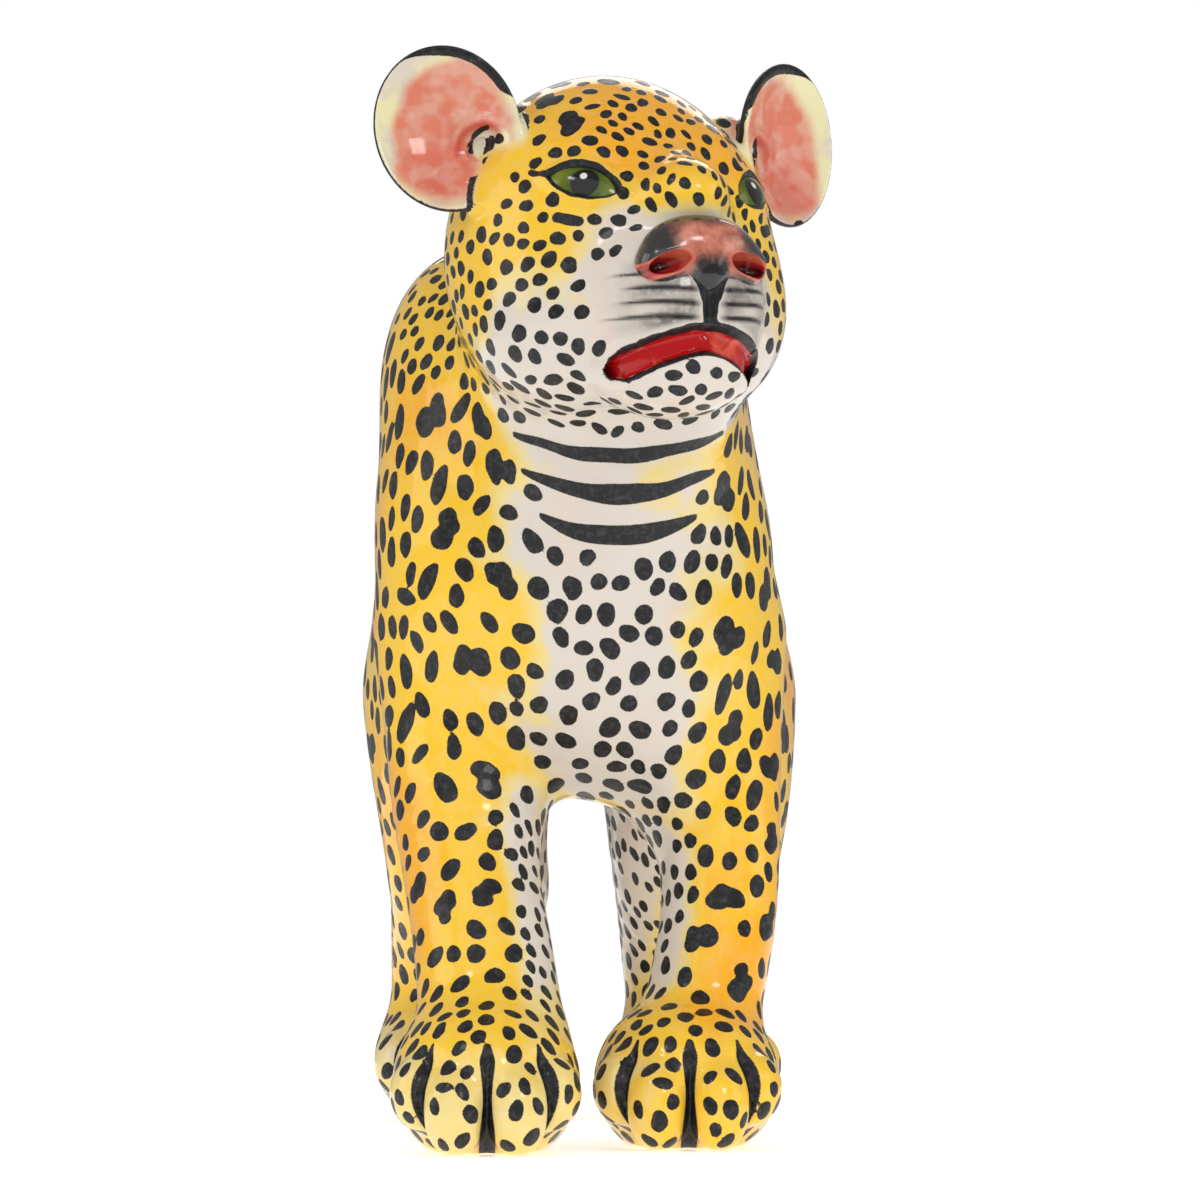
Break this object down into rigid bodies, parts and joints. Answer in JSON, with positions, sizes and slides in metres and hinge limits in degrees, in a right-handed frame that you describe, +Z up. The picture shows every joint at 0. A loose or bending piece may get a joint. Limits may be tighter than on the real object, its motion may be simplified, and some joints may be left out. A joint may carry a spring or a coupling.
{
  "type": "big cat figurine",
  "caption": "Standing spotted big cat figure, hollow hand-painted glazed ceramic, head turned to its left, legs in mid stride.",
  "frame": {"origin": "on the ground under the middle of the figure's bounding box", "axes": "+Z up, the figure faces -Y with its tail at +Y, and its own left side is +X"},
  "size_m": [0.159, 0.4832, 0.3635],
  "materials": {
    "body_glaze": "hand-painted yellow, orange and cream washes with black spots under a clear wet gloss",
    "ear_glaze": "salmon wash inside a cream rim, black outside edge, gloss",
    "nose_glaze": "red-brown wash with a black edge and deep red nostrils, gloss",
    "eye_glaze": "painted green iris and black pupil under a thick wet gloss"
  },
  "bodies": {
    "root": {"torso": "body_glaze", "head": "body_glaze", "nose_pad": "nose_glaze", "eye_left": "eye_glaze", "eye_right": "eye_glaze", "ear_left": "ear_glaze", "ear_right": "ear_glaze", "foreleg_left": "body_glaze", "foreleg_right": "body_glaze", "hindleg_left": "body_glaze", "hindleg_right": "body_glaze", "tail": "body_glaze"}
  },
  "joints": []
}
